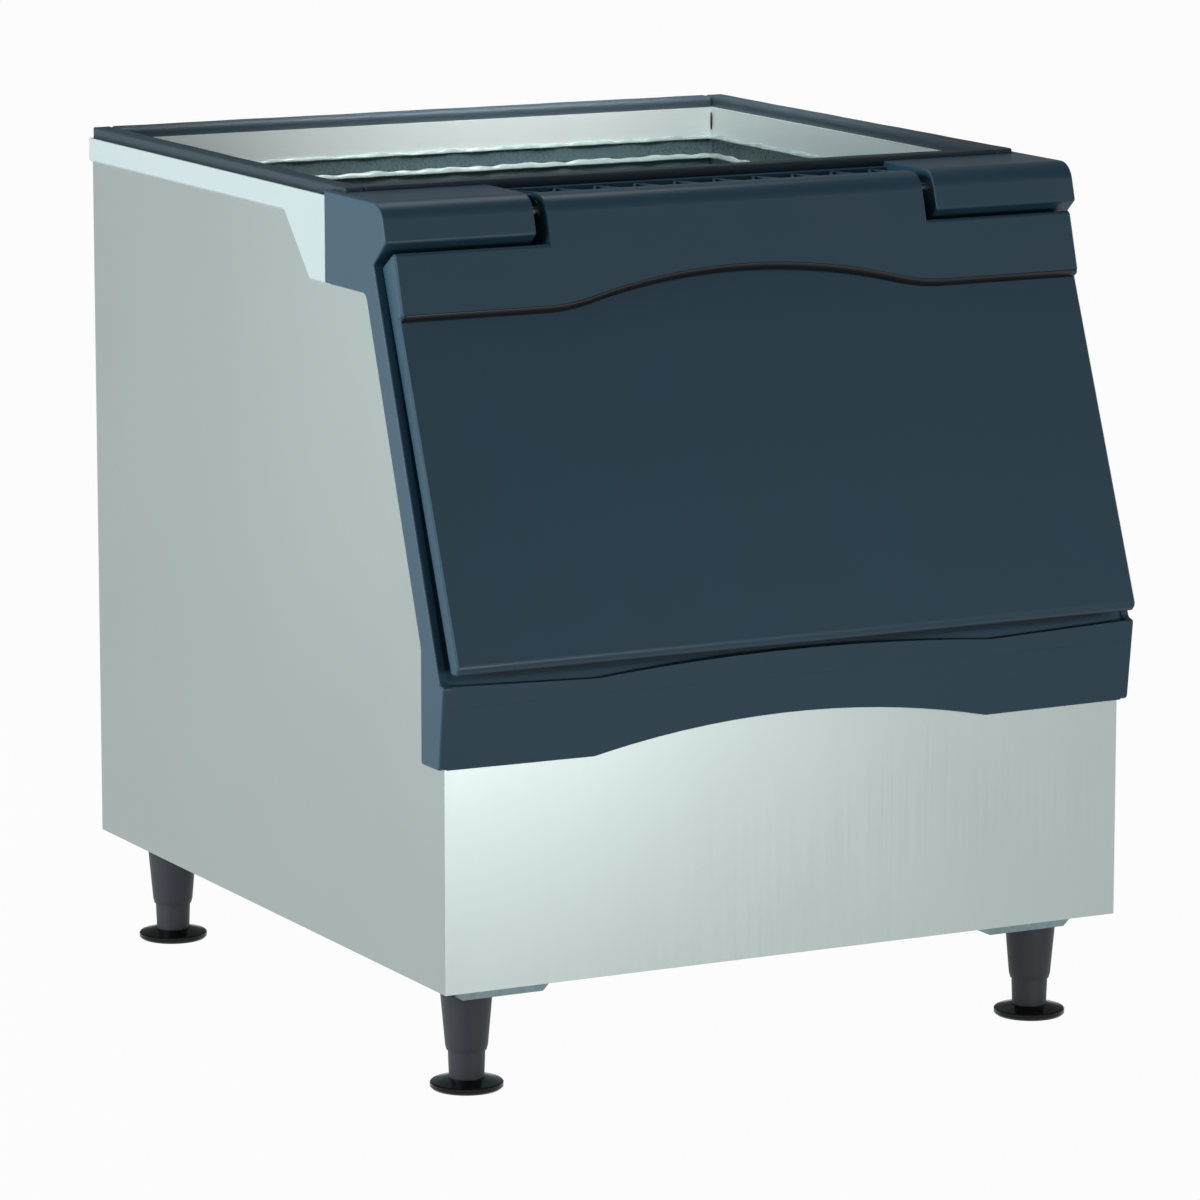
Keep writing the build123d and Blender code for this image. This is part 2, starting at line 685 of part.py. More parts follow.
def door_shell():
    shell = door_lower() + door_head()
    outer = [e for e in shell.edges() if abs(abs(e.center().X) - DOOR_W / 2) < 0.01
             and e.center().Y < door_y(e.center().Z) + R_SMALL]
    shell = chamfer(outer, DOOR_EDGE_R * 0.6)
    shell = shell - door_core(SEAT) - door_liner(SEAT)
    hole = rod(NOSE_HALF - PIN_IN_DOOR, HINGE_Y, HINGE_Z, BUSH_R, PIN_IN_DOOR + 1, "x")
    return shell - both(hole)


def door_seal():
    """Flexible seal on the door's back, which meets the frame round the opening."""
    def ring(grow):
        low, high = OPENING_LOW - SEAL_INSET - grow, OPENING_HIGH + SEAL_INSET + grow
        return prism([(door_y(low) + DOOR_T, low), (door_y(high) + DOOR_T, high),
                      (door_y(high) + DOOR_T + SEAL_T, high), (door_y(low) + DOOR_T + SEAL_T, low)],
                     -OPENING_W / 2 - SEAL_INSET - grow, OPENING_W / 2 + SEAL_INSET + grow)
    return ring(SEAL_W) - ring(0)


# Hinge

def hinge_pin(side):
    pin = rod(NOSE_HALF - PIN_IN_DOOR + BUSH_T, HINGE_Y, HINGE_Z, PIN_R - RUN_FIT,
              BLOCK_INNER + PIN_IN_BLOCK - NOSE_HALF + PIN_IN_DOOR - BUSH_T - SEAT, "x")
    pin = chamfer(pin.edges().filter_by(GeomType.CIRCLE).sort_by(Axis.X)[0], 1.0)
    return pin if side > 0 else mirror(pin, Plane.YZ)


def hinge_bush(side):
    start = NOSE_HALF - PIN_IN_DOOR + SEAT
    bush = rod(start, HINGE_Y, HINGE_Z, BUSH_R - RUN_FIT, PIN_IN_DOOR - SEAT, "x")
    bush += rod(NOSE_HALF + SEAT, HINGE_Y, HINGE_Z, BUSH_R + 3, BUSH_T, "x")
    bush += rod(NOSE_HALF - 1, HINGE_Y, HINGE_Z, BUSH_R - RUN_FIT, 2, "x")
    bush -= rod(start + BUSH_T - SEAT - 1, HINGE_Y, HINGE_Z, PIN_R, PIN_IN_DOOR + 2 * BUSH_T, "x")
    return bush if side > 0 else mirror(bush, Plane.YZ)


# Inside

BAFFLE_Y = CAVITY_FRONT + SEAT
BAFFLE_TOP = LINER_TOP - BAFFLE_T
BAFFLE_LOW = BODY_TOP - BAFFLE_DROP
BAFFLE_SCREW_X = OPENING_W / 2 - BAFFLE_SCREW_IN


def ice_baffle():
    """Plate behind the door's head that keeps ice off the door, with its lower edge turned forward."""
    turn = BAFFLE_TURN
    t = BAFFLE_T
    points = [
        (BAFFLE_Y, BAFFLE_TOP),
        (BAFFLE_Y, BAFFLE_LOW + turn, BAFFLE_BEND),
        (BAFFLE_Y - turn, BAFFLE_LOW),
        (BAFFLE_Y - turn + t, BAFFLE_LOW - t),
        (BAFFLE_Y + t, BAFFLE_LOW + turn - t, BAFFLE_BEND + t),
        (BAFFLE_Y + t, BAFFLE_TOP),
    ]
    plate = prism(points, -OPENING_W / 2, OPENING_W / 2)
    hole = rod(BAFFLE_SCREW_X, BAFFLE_Y - 1, baffle_screw_z(), SCREW_R + SEAT, t + 2, "y")
    return plate - both(hole)


def baffle_screw_z():
    return (CAVITY_CEIL + LINER_TOP) / 2


def thumbscrews():
    """Two knurled-head screws that hold the baffle to the liner."""
    z = baffle_screw_z()
    y = BAFFLE_Y + BAFFLE_T + SEAT
    screw = rod(BAFFLE_SCREW_X, CAVITY_FRONT + SEAT, z, SCREW_R, BAFFLE_T + 2, "y")
    head = extrude(Rot(-90, 0, 0) * RegularPolygon(SCREW_R * 2.6, 12), amount=8)
    screw += Pos(BAFFLE_SCREW_X, y, z) * head
    return both(screw)


# Drain

def drain_fitting():
    """Threaded spigot through the back wall, with its flange outside."""
    inner_end = CAVITY_BACK - NUT_T - 2
    tube = rod(0, inner_end, DRAIN_Z, DRAIN_R, BODY_D + SEAT - inner_end, "y")
    flange = rod(0, BODY_D + SEAT, DRAIN_Z, DRAIN_FLANGE_R, DRAIN_FLANGE_T, "y")
    bore = rod(0, inner_end - 1, DRAIN_Z, DRAIN_BORE_R, BACK_END - inner_end + 2, "y")
    return tube + flange - bore


def drain_locknut():
    start = CAVITY_BACK - SEAT - NUT_T
    nut = hexagon(0, start, DRAIN_Z, DRAIN_R + 9, NUT_T, "y")
    return nut - rod(0, start - 1, DRAIN_Z, DRAIN_R + SEAT, NUT_T + 2, "y")


# Legs and feet

def leg_bracket(x, y):
    """Pressed pan under the cabinet's corner, with slanted ends and a flange front and back."""
    out = 1 if x > 0 else -1
    near, far = x + out * BRACKET_OUT, x - out * BRACKET_IN
    x0, x1 = min(near, far), max(near, far)
    top, low = LEG_H, LEG_H - BRACKET_H

    def pan(inset, z0, z1):
        wide = Rectangle(x1 - x0 - 2 * inset, BRACKET_D - 2 * inset)
        narrow_w = x1 - x0 - 2 * (BRACKET_SLANT + inset)
        narrow = Rectangle(narrow_w, BRACKET_D - 2 * (BRACKET_SLANT + inset))
        middle = (x0 + x1) / 2
        return loft([Plane((middle, y, z0)) * narrow, Plane((middle, y, z1)) * wide])

    body = pan(0, low, top) - pan(BRACKET_T, low + BRACKET_T, top + 0.001)
    reach = BRACKET_D / 2 + BRACKET_FLANGE
    flange = box(x0, x1, y - reach, y + reach, top - BRACKET_T, top)
    flange -= box(x0 - 1, x1 + 1, y - BRACKET_D / 2 + 1, y + BRACKET_D / 2 - 1, top - 3 * BRACKET_T, top + 1)
    return body + flange - rod(x, y, low - 1, STUD_R + SEAT, BRACKET_T + 2)


def turned(profile, x, y):
    """Solid of revolution about an upright axis, from points (radius, height)."""
    face = make_face(Polyline(*[(r, 0, z) for r, z in profile], close=True))
    return Pos(x, y, 0) * revolve(face, Axis.Z)


def leg(x, y):
    """Tapered leg, bored from below for the foot's stem and from above for its stud."""
    top = LEG_H - BRACKET_H
    body = turned([(0, LEG_END_Z), (LEG_END_R, LEG_END_Z), (LEG_LOW_R, LEG_LOW_Z), (LEG_TOP_R, top), (0, top)],
                  x, y)
    body -= rod(x, y, LEG_END_Z - 1, STEM_R + RUN_FIT, STEM_TOP_Z + 1 + SEAT - LEG_END_Z)
    return body - rod(x, y, top - STUD_DEPTH, STUD_R + SEAT, STUD_DEPTH + 1)


def leg_stud(x, y):
    top = LEG_H - BRACKET_H
    stud = rod(x, y, top - STUD_DEPTH + SEAT, STUD_R, STUD_DEPTH + BRACKET_H - STUD_R)
    return stud + hexagon(x, y, top + BRACKET_T, STUD_NUT_R, STUD_R * 1.6)


def foot_stem(x, y):
    """Screwed stem of the levelling foot: a tapered end below a straight guide."""
    low = DISC_TOP - DISC_POCKET + SEAT
    return turned([(0, low), (STEM_FOOT_R - 1.5, low), (STEM_FOOT_R, low + 4), (STEM_R, LEG_END_Z),
                   (STEM_R, STEM_TOP_Z - 1), (STEM_R - 1, STEM_TOP_Z), (0, STEM_TOP_Z)], x, y)


def foot_disc(x, y):
    """Round foot with a low cone round the stem."""
    pocket = DISC_TOP - DISC_POCKET
    hole = STEM_FOOT_R + SEAT
    return turned([(0, 0), (DISC_R - 2, 0), (DISC_R, 2), (DISC_R, DISC_RIM - 1), (DISC_R - 1.2, DISC_RIM),
                   (hole + 2, DISC_TOP), (hole, DISC_TOP), (hole, pocket), (0, pocket)], x, y)


CORNERS = {
    "fl": (-LEG_X, LEG_FRONT),
    "fr": (LEG_X, LEG_FRONT),
    "rl": (-LEG_X, LEG_REAR),
    "rr": (LEG_X, LEG_REAR),
}

NODES = {
    "side_panel_left": lambda: side_panel(-1),
    "side_panel_right": lambda: side_panel(1),
    "front_panel": front_panel,
    "back_panel": back_panel,
    "base_pan": base_pan,
    "insulation": insulation,
    "liner": liner,
    "top_collar": top_collar,
    "sealant_bead": sealant_bead,
    "band_left": lambda: band_side(-1),
    "band_right": lambda: band_side(1),
    "band_back": band_back,
    "gasket_left": lambda: gasket("left"),
    "gasket_right": lambda: gasket("right"),
    "gasket_front": lambda: gasket("front"),
    "gasket_back": lambda: gasket("back"),
    "front_frame": front_frame,
    "door_shell": door_shell,
    "door_insulation": lambda: door_core(0),
    "door_liner": door_liner,
    "door_seal": door_seal,
    "hinge_pin_left": lambda: hinge_pin(-1),
    "hinge_pin_right": lambda: hinge_pin(1),
    "hinge_bush_left": lambda: hinge_bush(-1),
    "hinge_bush_right": lambda: hinge_bush(1),
    "ice_baffle": ice_baffle,
    "baffle_thumbscrews": thumbscrews,
    "drain_fitting": drain_fitting,
    "drain_locknut": drain_locknut,
}

os.makedirs("parts", exist_ok=True)
for node, build in NODES.items():
    export_step(place(build()), f"parts/{node}.step")
for tag, (x, y) in CORNERS.items():
    export_step(place(leg_bracket(x, y)), f"parts/leg_bracket_{tag}.step")
    export_step(place(leg(x, y)), f"parts/leg_{tag}.step")
    export_step(place(leg_stud(x, y)), f"parts/leg_stud_{tag}.step")
    export_step(place(foot_stem(x, y)), f"parts/foot_stem_{tag}.step")
    export_step(place(foot_disc(x, y)), f"parts/foot_disc_{tag}.step")
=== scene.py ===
"""Dresses an insulated ice storage bin: a finish for every part, and its soft, small and threaded pieces."""
import math

import bmesh
import bpy
import numpy as np
from bpy.props import FloatProperty, FloatVectorProperty, IntProperty, PointerProperty
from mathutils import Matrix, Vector


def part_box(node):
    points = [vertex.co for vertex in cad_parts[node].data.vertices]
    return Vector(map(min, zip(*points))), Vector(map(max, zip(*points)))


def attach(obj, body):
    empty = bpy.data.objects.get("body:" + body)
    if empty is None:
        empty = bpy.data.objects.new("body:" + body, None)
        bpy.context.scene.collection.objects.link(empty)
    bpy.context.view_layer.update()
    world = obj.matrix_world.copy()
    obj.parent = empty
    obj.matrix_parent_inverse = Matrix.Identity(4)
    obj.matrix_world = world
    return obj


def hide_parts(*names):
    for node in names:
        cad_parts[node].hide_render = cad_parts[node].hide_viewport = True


bl_info = {
    "name": "Ice Storage Bin",
    "version": (1, 0, 0),
    "blender": (4, 5, 0),
    "location": "3D View > Sidebar > Ice Bin",
    "description": "Finishes, gasket, sealant and fasteners of an insulated ice storage bin",
    "category": "Object",
}

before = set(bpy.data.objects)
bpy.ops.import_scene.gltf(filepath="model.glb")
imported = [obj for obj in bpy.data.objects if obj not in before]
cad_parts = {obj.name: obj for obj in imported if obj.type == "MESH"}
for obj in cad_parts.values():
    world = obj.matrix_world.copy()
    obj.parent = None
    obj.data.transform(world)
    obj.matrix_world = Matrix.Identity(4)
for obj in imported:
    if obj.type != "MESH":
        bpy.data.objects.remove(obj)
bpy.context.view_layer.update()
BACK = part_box("back_panel")
CORNERS = ("fl", "fr", "rl", "rr")

# The head of the door: how far its face leans back per metre of height, and the place of the bead's middle,
# back and up from the waved edge, on the slant below the face. The bead is painted shadow: a dark piece that
# stands for the shade on the step below the head.
HEAD_SLOPE = 0.29
BEAD_BACK = 0.0043
BEAD_UP = 0.0007
BEAD_FLATNESS = 0.28
BEAD_END = 0.004
BEAD_SIDE_GAP = 0.0005

# The rim of the liner, its upper bead of sealant, and the dark slivers of painted shade in the slits at the
# neck's corners.
RIM_THICK = 0.0016
RIM_BEAD_WIDTH = 0.0036
RIM_BEAD_HEIGHT = 0.0042
RIM_BEAD_WAVE = 0.0012
SLIT_UP = 0.008
SLIT_INSET = 0.0012
SLIT_PROFILE = ((0, 0), (0.0007, 0.0015), (0.0009, 0.006), (0.0009, 0.014), (0.0006, 0.019), (0, 0.02))

# Fasteners: the thumbscrew's head and shaft, and how far the screws and bolts stand from the edges.
KNOB_HEAD = 0.008
KNOB_SHAFT_R = 0.003
KNOB_BEVEL = 0.0006
SCREW_INSET = 0.011
BOLT_INSET = (0.014, 0.0042)
BOLT_HEIGHT = 0.002

# The drain's thread: the bore's radius, and where the ridge starts and ends, in from the mouth.
DRAIN_BORE_R = 0.0123
THREAD_START = 0.024
THREAD_END = 0.0015


def linear(code):
    """sRGB hex code as a linear colour with alpha 1."""
    part = np.array([int(code[i:i + 2], 16) for i in (0, 2, 4)]) / 255
    shade = np.where(part <= 0.04045, part / 12.92, ((part + 0.055) / 1.055) ** 2.4)
    return (*shade.tolist(), 1.0)


def length(name, text, size, low=0.0):
    """Size in metres for the panel."""
    return FloatProperty(name=name, description=text, default=size, min=low, unit="LENGTH", precision=5)


def colour(name, text, code):
    """Colour for the panel, from a hex code."""
    return FloatVectorProperty(name=name, description=text, default=linear(code), size=4, min=0, max=1,
                               subtype="COLOR")


class IceBinSizes(bpy.types.PropertyGroup):
    """Sizes of the pieces that are worked out here."""
    groove_depth: length("Gasket groove depth", "Depth of the fine grooves along the foam strip", 0.0005)
    groove_count: IntProperty(name="Gasket grooves", description="Grooves side by side on the strip",
                              default=5, min=1, max=12)
    gasket_outer: length("Gasket outer round", "Radius of the strip's outer top edge", 0.0018)
    gasket_inner: length("Gasket inner round", "Radius of the strip's inner top edge", 0.0048)
    gasket_end: length("Gasket end round", "Radius at the cut ends of a strip", 0.003)
    gasket_dip: length("Gasket unevenness", "How far the strip's top sinks in slow waves", 0.0004)
    bead_width: length("Bead width", "Mean width of the sealant bead", 0.0052)
    bead_height: length("Bead height", "Mean height of the sealant bead", 0.0062)
    bead_wave: length("Bead wave", "How far the bead's edge wanders", 0.0013)
    wave_low: length("Wave low", "Height of the waved edge at the door's sides", 0.764)
    wave_rise: length("Wave rise", "How far the waved edge climbs in the middle", 0.028)
    wave_crest: length("Wave crest radius", "Radius of the wave's middle", 0.7)
    wave_foot: length("Wave foot radius", "Radius at each foot of the wave", 0.217)
    wave_bead: length("Wave bead", "Half the height of the bead along the wave", 0.0058)
    head_y: length("Head front", "Where the head's face stands at the wave's foot", -0.3246)
    rim_height: length("Rim height", "How far the liner's rim stands up the neck", 0.023)
    head_radius: length("Panel screw radius", "Radius of the back panel's screw heads", 0.0046)
    head_height: length("Panel screw height", "Height of the back panel's screw heads", 0.0023)
    bolt_radius: length("Bracket bolt radius", "Radius of the heads under the leg brackets", 0.0034)
    thread_pitch: length("Drain thread pitch", "Pitch of a 14 per inch pipe thread", 0.001814, 0.001)
    thread_depth: length("Drain thread depth", "How far the thread stands into the bore", 0.0007)
    knurl_depth: length("Knurl depth", "Depth of the knurl on the baffle's thumbscrews", 0.0003)


class IceBinColours(bpy.types.PropertyGroup):
    """Colours of the finishes."""
    stainless: colour("Stainless", "Brushed sheet of the cabinet", "bac6c4")
    bright: colour("Bright stainless", "Neck of the opening and baffle", "dbe5e3")
    galvanised: colour("Galvanised", "Base pan and leg brackets", "8fa5a9")
    slate: colour("Slate plastic", "Door and front frame", "3a5d71")
    band: colour("White paint", "Band round the top edge", "eef6f6")
    foam_rubber: colour("Foam rubber", "Gasket strips and door seal", "34454f")
    liner: colour("Liner", "Thermoformed inside", "46595d")
    sealant: colour("Sealant", "Clear bead round the neck", "a8bbb9")
    leg: colour("Leg plastic", "Legs and stems", "35373f")
    foot: colour("Foot plastic", "Round feet", "060707")
    drain: colour("Drain plastic", "Drain spigot and nut", "d8dad6")
    core: colour("Rigid foam", "Core of the walls and the door", "d9cc9f")


# Meshes

def surface(name, grids, close_rows=False):
    """Closed mesh from an array of grids, shaped (pieces, rows, columns, 3). Columns go round each piece and
    join up. Rows run along it and end in one point, or join up too."""
    grids = np.asarray(grids, dtype=float)
    count, rows, columns = grids.shape[:3]
    index = np.arange(count * rows * columns).reshape(count, rows, columns)
    index = np.concatenate([index, index[:, :, :1]], axis=2)
    if close_rows:
        index = np.concatenate([index, index[:, :1]], axis=1)
    quads = np.stack([index[:, :-1, :-1], index[:, :-1, 1:], index[:, 1:, 1:], index[:, 1:, :-1]], axis=-1)
    mesh = bpy.data.meshes.new(name)
    mesh.from_pydata(grids.reshape(-1, 3), [], quads.reshape(-1, 4))
    work = bmesh.new()
    work.from_mesh(mesh)
    bmesh.ops.remove_doubles(work, verts=work.verts, dist=1e-7)
    bmesh.ops.recalc_face_normals(work, faces=work.faces)
    work.to_mesh(mesh)
    work.free()
    mesh.shade_smooth()
    piece = bpy.data.objects.new(name, mesh)
    bpy.context.scene.collection.objects.link(piece)
    return piece


def pointed(sections):
    """Adds a row at each end of the sections that is drawn together in the end section's middle."""
    first = np.broadcast_to(sections[:1].mean(axis=1, keepdims=True), sections[:1].shape)
    last = np.broadcast_to(sections[-1:].mean(axis=1, keepdims=True), sections[-1:].shape)
    return np.concatenate([first, sections, last])


def foam_strip(low, high, along, inner, sizes):
    """Foam strip in the box low to high, along axis 0 or 1. Its section is flat below, with a quarter circle at
    both top edges and cosine grooves between them. A quarter circle draws the sections in near the ends, and
    two slow sine waves lower the top."""
    across = 1 - along
    width, height, run = high[across] - low[across], high[2] - low[2], high[along] - low[along]
    turn = np.linspace(0, math.pi / 2, 8)
    outer, inside, end = sizes.gasket_outer, sizes.gasket_inner, sizes.gasket_end
    flat = np.linspace(0, 1, 10 * sizes.groove_count + 1)[1:-1]
    groove = sizes.groove_depth * (0.5 - 0.5 * np.cos(2 * math.pi * sizes.groove_count * flat))
    u = np.concatenate([outer * (1 - np.cos(turn)), outer + flat * (width - outer - inside),
                        width - inside * (1 - np.sin(turn)), [width, 0]])
    v = np.concatenate([height - outer * (1 - np.sin(turn)), height - groove,
                        height - inside * (1 - np.cos(turn)), [0, 0]])
    ramp = end * (1 - np.cos(turn))
    s = np.concatenate([ramp, np.linspace(end, run - end, 160)[1:-1], run - ramp[::-1]])
    edge = np.minimum(np.minimum(s, run - s), end)
    inset = end - np.sqrt(np.maximum(end ** 2 - (end - edge) ** 2, 0))
    dip = sizes.gasket_dip * (0.5 + 0.3 * np.sin(s * 31 + 5 * along) + 0.2 * np.sin(s * 83 + 2 * inner))
    across_u = width / 2 + (u - width / 2) * (1 - 2 * inset[:, None] / width)
    grid = np.empty((len(s), len(u), 3))
    grid[..., along] = low[along] + s[:, None]
    grid[..., across] = low[across] + across_u if inner > 0 else high[across] - across_u
    grid[..., 2] = low[2] + v * (1 - (inset + dip)[:, None] / height)
    return pointed(grid)


def neck_path(low, high, radius=0.006):
    """Spots along a rectangle with quarter-circle corners, the outward way at each, and how far round it is."""
    middle, half = (low[:2] + high[:2]) / 2, (high[:2] - low[:2]) / 2 - radius
    signs = np.array([(1, 1), (-1, 1), (-1, -1), (1, -1)])
    angle = np.linspace(0, math.pi / 2, 9) + np.arange(4)[:, None] * math.pi / 2
    way = np.stack([np.cos(angle), np.sin(angle)], axis=-1)
    arc = middle + half * signs[:, None] + radius * way
    ahead = np.roll(arc, -1, axis=0)[:, :1]
    part = np.linspace(0, 1, 190)[1:-1, None]
    run = arc[:, -1:] * (1 - part) + ahead * part
    spots = np.concatenate([arc, run], axis=1).reshape(-1, 2)
    ways = np.concatenate([way, np.repeat(way[:, -1:], len(part), axis=1)], axis=1).reshape(-1, 2)
    return spots, ways, np.cumsum(np.linalg.norm(np.diff(spots, axis=0, append=spots[:1]), axis=1))


def along_neck(path, inward, up):
    """Sections along the neck's inner face: how far each point stands inward, and its height."""
    spots, ways, _ = path
    grid = np.empty((*np.broadcast_shapes(inward.shape, up.shape), 3))
    grid[..., :2] = spots[:, None] - ways[:, None] * inward[..., None]
    grid[..., 2] = up
    return grid


def wandering_bead(path, base, width, height, wander):
    """Fillet of sealant against the neck. Its section is a quarter ellipse whose width and height are a mean
    plus sine waves along the path."""
    lap = 2 * math.pi * path[2] / path[2][-1]
    wave = 0.5 * np.sin(lap * 37) + 0.3 * np.sin(lap * 61 + 1) + 0.2 * np.sin(lap * 113 + 2)
    other = 0.5 * np.sin(lap * 29 + 3) + 0.5 * np.sin(lap * 83 + 4)
    turn = np.linspace(0, math.pi / 2, 9)
    wide, tall = (width + wander * wave)[:, None], (height + wander * other)[:, None]
    inward = np.concatenate([wide * np.cos(turn), 0 * wide], axis=1)
    up = np.concatenate([tall * np.sin(turn), 0 * tall], axis=1)
    return along_neck(path, inward, base + up)


def lapped_rim(path, base, top, thick):
    """Thin rim that stands against the neck: a flat strip with a quarter circle at its top inner edge and a
    foot that flares inward as the square of the nearness to its base."""
    turn = np.linspace(0, math.pi / 2, 7)
    near = np.linspace(1, 0, 8)
    inward = np.concatenate([[0], thick * (1 + 0.6 * near ** 2), thick * np.cos(turn)])
    up = np.concatenate([[base], top - thick - (top - thick - base) * near, top - thick + thick * np.sin(turn)])
    return along_neck(path, np.tile(inward, (len(path[0]), 1)), up)


def wave_bead(half, low, sizes):
    """Dark bead of painted shadow along the door head's waved edge, standing for the shade on the step below
    the head. The edge is a line, an arc, the crest's arc and the same again. Its section is an ellipse that
    leans back at 45 degrees and rounds off at the ends as a quarter circle."""
    rise, crest, foot = sizes.wave_rise, sizes.wave_crest, sizes.wave_foot
    angle = math.acos(1 - rise / (crest + foot))
    run, turn = (crest + foot) * math.sin(angle), crest * math.sin(angle)
    x = half * np.sin(np.linspace(-math.pi / 2, math.pi / 2, 241))
    away = np.minimum(np.abs(x), run)
    arch = rise - crest + np.sqrt(np.maximum(crest ** 2 - away ** 2, 0))
    hollow = foot - np.sqrt(np.maximum(foot ** 2 - (run - away) ** 2, 0))
    z = low + np.where(away < turn, arch, hollow)
    y = sizes.head_y + (z - low) * HEAD_SLOPE
    inward = half - np.abs(x)
    ends = np.sqrt(np.clip(1 - (1 - inward / BEAD_END) ** 2, 0.0025, 1))
    ends[inward > BEAD_END] = 1
    lap = np.linspace(0, 2 * math.pi, 24, endpoint=False)
    long, thick = sizes.wave_bead * np.cos(lap), sizes.wave_bead * BEAD_FLATNESS * np.sin(lap)
    grid = np.empty((len(x), len(lap), 3))
    grid[..., 0] = x[:, None]
    grid[..., 1] = y[:, None] + BEAD_BACK + ends[:, None] * (long - thick) * math.sqrt(0.5)
    grid[..., 2] = z[:, None] + BEAD_UP - ends[:, None] * (long + thick) * math.sqrt(0.5)
    return pointed(grid)


def turned(profile, steps, lobes=0, ripple=None):
    """Surface of revolution about z through a profile of (radius, height), which starts and ends on the axis. A
    cosine with that many lobes swells the radius of each row by its share in ripple."""
    profile = np.array(profile, dtype=float)
    angle = np.linspace(0, 2 * math.pi, steps, endpoint=False)
    share = np.zeros(len(profile)) if ripple is None else np.array(ripple, dtype=float)
    radius = profile[:, :1] * (1 + share[:, None] * np.cos(lobes * angle))
    height = np.broadcast_to(profile[:, 1:], radius.shape)
    return np.stack([radius * np.cos(angle), radius * np.sin(angle), height], axis=-1)


def screw_head(radius, height):
    """Low domed head with a six-lobed recess: the dome's height falls as the square of the radius."""
    r = np.linspace(0.38, 1.0, 9)[::-1]
    dome = [(radius * q, height * (0.35 + 0.65 * (1 - q * q))) for q in r]
    dip = [(radius * 0.36, height * 0.86), (radius * 0.33, height * 0.3), (0, height * 0.3)]
    profile = [(0, 0), (radius, 0), *dome, *dip]
    ripple = [0, 0, *np.where(r < 0.45, 0.06, 0), 0.16, 0.18, 0]
    return turned(profile, 36, 6, ripple)


def thumb_knob(grip, run, knurl):
    """Thumbscrew of that radius and length: a thin shaft, then a bevelled head with a hollow end. A cosine
    around the head makes the knurl, of that depth."""
    shaft = run - KNOB_HEAD
    rows = [(0, 0), (KNOB_SHAFT_R, 0), (KNOB_SHAFT_R, shaft), (grip - KNOB_BEVEL, shaft),
            (grip, shaft + KNOB_BEVEL), (grip, run - KNOB_BEVEL), (grip - KNOB_BEVEL, run),
            (grip - 0.002, run), (grip - 0.003, run - 0.0008), (0, run - 0.0008)]
    depth = knurl / grip
    return turned(rows, 160, 32, [0, 0, 0, 0, depth, depth, 0, 0, 0, 0])


def pipe_thread(radius, depth, pitch, start, end, centre):
    """Triangular ridge along a helix about y: angle and place along the bore grow together."""
    turns = (end - start) / pitch
    angle = np.linspace(0, 2 * math.pi * turns, int(turns * 40))
    fade = np.clip(np.minimum(angle, angle[-1] - angle) / math.pi, 0.02, 1)[:, None]
    section = np.array([(0.0001, -0.42), (-1.0, -0.06), (-1.0, 0.06), (0.0001, 0.42)])
    reach = radius + section[:, 0] * depth * fade
    grid = np.empty((len(angle), len(section), 3))
    grid[..., 0] = centre[0] + reach * np.cos(angle)[:, None]
    grid[..., 2] = centre[2] + reach * np.sin(angle)[:, None]
    grid[..., 1] = start + angle[:, None] / (2 * math.pi) * pitch + section[:, 1] * pitch
    return pointed(grid)


def facing(shape, axis, spots):
    """Copies of a shape that was turned about z, with its top towards +y, +z or -z, one at each spot."""
    x, y, z = shape[..., 0], shape[..., 1], shape[..., 2]
    turned_to = {"+y": (x, z, y), "+z": (x, y, z), "-z": (x, y, -z)}[axis]
    return np.stack(turned_to, axis=-1)[None] + np.array(spots)[:, None, None, :]


def fit(piece, material, body="cabinet", stands_for=()):
    """Gives a new piece its finish and body, and hides the CAD nodes that it stands for."""
    piece.data.materials.append(material)
    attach(piece, body)
    if stands_for:
        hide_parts(*stands_for)


def dress(material, *names):
    """Puts a finish on CAD nodes."""
    for name in names:
        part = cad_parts[name]
        if not part.material_slots:
            part.data.materials.append(material)
        for place in part.material_slots:
            place.material = material


# Finishes

def add(tree, kind, inputs=None, **settings):
    """Adds one shader node with its settings, and a value or a link for each input."""
    made = tree.nodes.new("ShaderNode" + kind)
    for key, value in settings.items():
        setattr(made, key, value)
    for key, value in (inputs or {}).items():
        if isinstance(value, bpy.types.NodeSocket):
            tree.links.new(value, made.inputs[key])
        else:
            made.inputs[key].default_value = value
    return made


def per_metre(*millimetres):
    """Pattern scale at which one cell is that many millimetres along x, y and z."""
    return tuple(1000 / size for size in millimetres)


def finish(name):
    """New material: its node tree, its Principled shader and its object coordinates."""
    material = bpy.data.materials.new(name)
    material.use_nodes = True
    tree = material.node_tree
    tree.nodes.clear()
    shader = add(tree, "BsdfPrincipled")
    add(tree, "OutputMaterial", {"Surface": shader.outputs[0]})
    return material, tree, shader, add(tree, "TexCoord").outputs["Object"]


def drive(tree, shader, colour_out, rough_out, normal_out):
    """Links a pattern's colour, roughness and relief to a Principled shader."""
    tree.links.new(colour_out, shader.inputs["Base Color"])
    tree.links.new(rough_out, shader.inputs["Roughness"])
    tree.links.new(normal_out, shader.inputs["Normal"])


def shades(tree, factor, tint, dark, light):
    """Colour between a darker and a lighter shade of a tint."""
    low = tuple(c * dark for c in tint[:3]) + (1.0,)
    high = tuple(min(c * light, 1.0) for c in tint[:3]) + (1.0,)
    return add(tree, "Mix", {0: factor, 6: low, 7: high}, data_type="RGBA").outputs[2]


